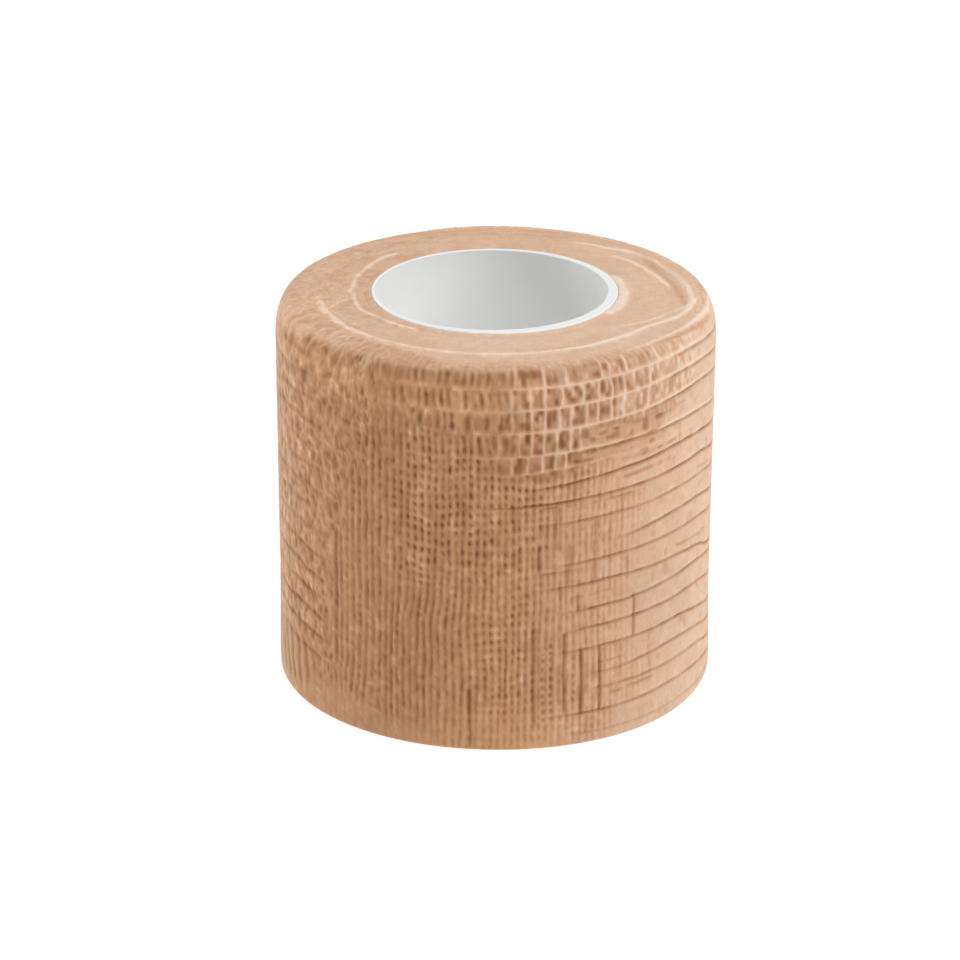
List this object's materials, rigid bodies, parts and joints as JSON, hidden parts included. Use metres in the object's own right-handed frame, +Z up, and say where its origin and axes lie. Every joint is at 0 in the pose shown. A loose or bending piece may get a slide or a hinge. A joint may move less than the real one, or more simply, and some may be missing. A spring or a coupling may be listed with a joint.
{
  "type": "cohesive bandage roll",
  "caption": "Short cylinder of crinkled self-clinging bandage wound on a hollow white plastic core, standing on its flat end, with a rounded upper edge.",
  "frame": {"origin": "middle of the box that the roll fills, on the surface that it stands on", "axes": "+Z up along the roll's axis, -Y towards the picture's viewer, +X to the viewer's right"},
  "size_m": [0.0554, 0.0552, 0.0505],
  "materials": {
    "cohesive_crepe": "matt crinkled nonwoven with lengthwise elastic threads, skin tone",
    "white_plastic": "smooth satin moulded plastic, white"
  },
  "bodies": {
    "root": {"bandage_roll": "cohesive_crepe", "core": "white_plastic"}
  },
  "joints": []
}
